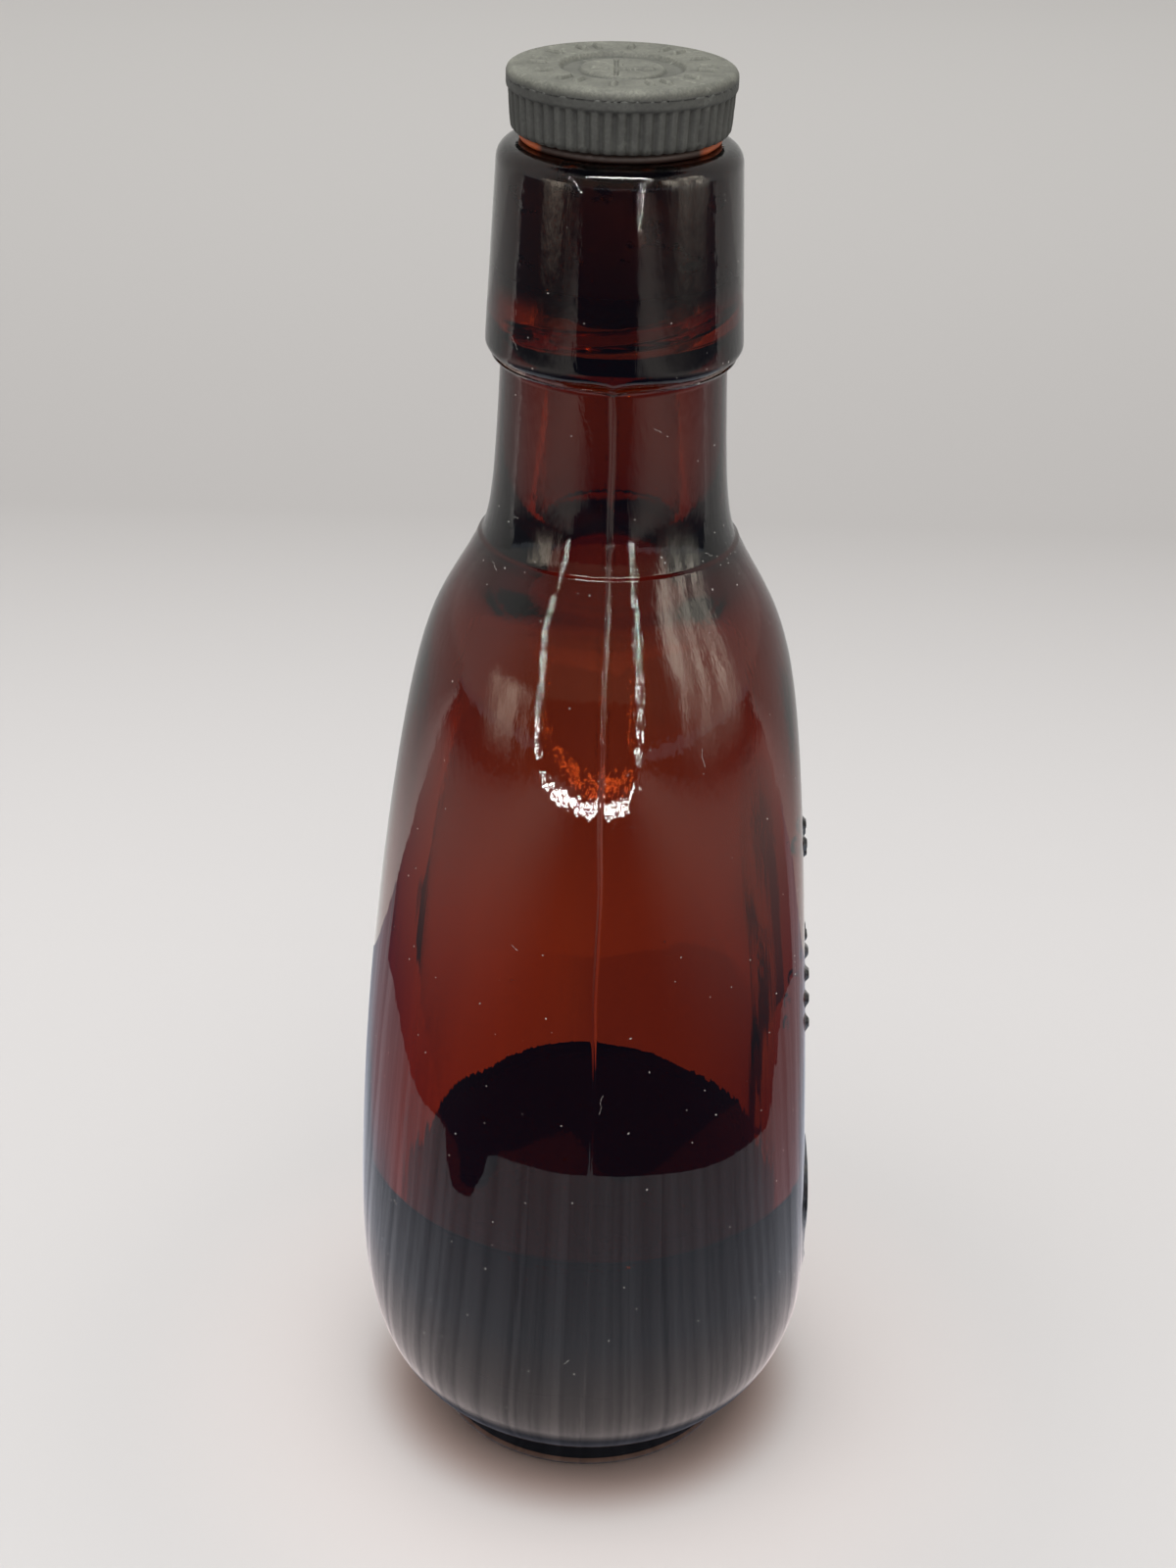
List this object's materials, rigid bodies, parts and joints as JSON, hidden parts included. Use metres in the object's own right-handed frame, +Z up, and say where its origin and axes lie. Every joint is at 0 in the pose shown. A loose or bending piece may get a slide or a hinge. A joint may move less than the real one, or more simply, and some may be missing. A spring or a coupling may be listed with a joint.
{
  "type": "stoppered glass bottle",
  "caption": "Heavy amber glass bottle with a flattened front panel, a collared neck and a ribbed screw stopper on a rubber seal, with some dark drink in it.",
  "frame": {"origin": "on the bottle's axis, in the plane that its foot stands on", "axes": "+Z up along the bottle, -Y towards the flattened front panel, +X along the plane of the mould seams"},
  "size_m": [0.071, 0.0703, 0.2114],
  "materials": {
    "amber_glass": "smooth dark amber glass with soft waves",
    "ebonite": "matt weathered grey hard rubber",
    "red_rubber": "matt orange-red rubber",
    "dark_drink": "clear, nearly black brown liquid"
  },
  "bodies": {
    "root": {"bottle": "amber_glass", "stopper": "ebonite", "seal_ring": "red_rubber", "drink": "dark_drink"}
  },
  "joints": []
}
